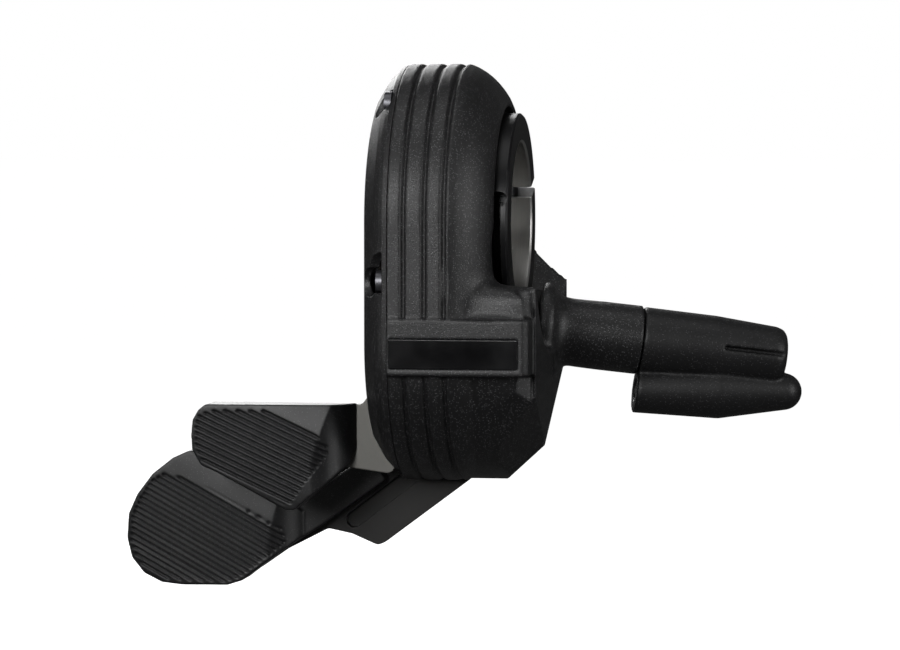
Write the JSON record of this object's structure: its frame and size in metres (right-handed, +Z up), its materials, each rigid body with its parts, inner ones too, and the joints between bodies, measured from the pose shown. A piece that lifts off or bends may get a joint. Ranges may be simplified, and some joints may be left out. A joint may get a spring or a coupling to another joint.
{
  "type": "bicycle thumb shifter",
  "caption": "Wired thumb shifter for a bicycle handlebar: ribbed case around the bar, split clamp, two ribbed thumb pads turning about the bar, and a cable port under a clip-on cover.",
  "frame": {"origin": "centre of the clamp bore, on the handlebar's axis", "axes": "X along the handlebar towards the stem, Y forward away from the rider, Z up"},
  "size_m": [0.0945, 0.0456, 0.0738],
  "materials": {
    "anodised_black": "black anodised, satin",
    "steel": "bright zinc",
    "case_plastic": "fine textured black",
    "plate_black": "gloss black",
    "bearing_plastic": "natural acetal",
    "spring_steel": "oiled steel",
    "lever_alloy": "dark satin",
    "pad_plastic": "satin black",
    "board": "green lacquer",
    "part_black": "moulded black",
    "plunger_white": "moulded white",
    "contact_gold": "gold flash",
    "lead_jacket": "jacket",
    "seal_rubber": "o-ring rubber"
  },
  "bodies": {
    "housing": {"clamp_sleeve": "anodised_black", "clamp_screw": "steel", "clamp_nut": "steel", "main_case": "case_plastic", "end_cover": "case_plastic", "cover_screws": "steel", "nameplate": "plate_black", "thrust_washers": "bearing_plastic", "retaining_ring": "spring_steel", "circuit_board": "board", "lever_switches": "part_black", "switch_plungers": "plunger_white", "control_chip": "part_black", "board_screws": "steel", "port_socket": "part_black", "port_pins": "contact_gold", "port_leads": "lead_jacket", "port_seal": "seal_rubber", "port_cover": "pad_plastic"},
    "upper": {"upper_lever": "lever_alloy", "upper_pad": "pad_plastic", "upper_pad_screws": "steel", "upper_spring": "spring_steel"},
    "lower": {"lower_lever": "lever_alloy", "lower_pad": "pad_plastic", "lower_pad_screws": "steel", "lower_spring": "spring_steel"}
  },
  "joints": [
    {"name": "upper_press", "type": "hinge", "parent": "housing", "child": "upper", "pos_m": [0, 0, 0], "axis": [1, 0, 0], "range_deg": [0, 6.5], "stiffness_Nm_per_rad": 0.3, "springref_deg": -5.73},
    {"name": "lower_press", "type": "hinge", "parent": "housing", "child": "lower", "pos_m": [0, 0, 0], "axis": [1, 0, 0], "range_deg": [0, 6.5], "stiffness_Nm_per_rad": 0.3, "springref_deg": -5.73}
  ]
}
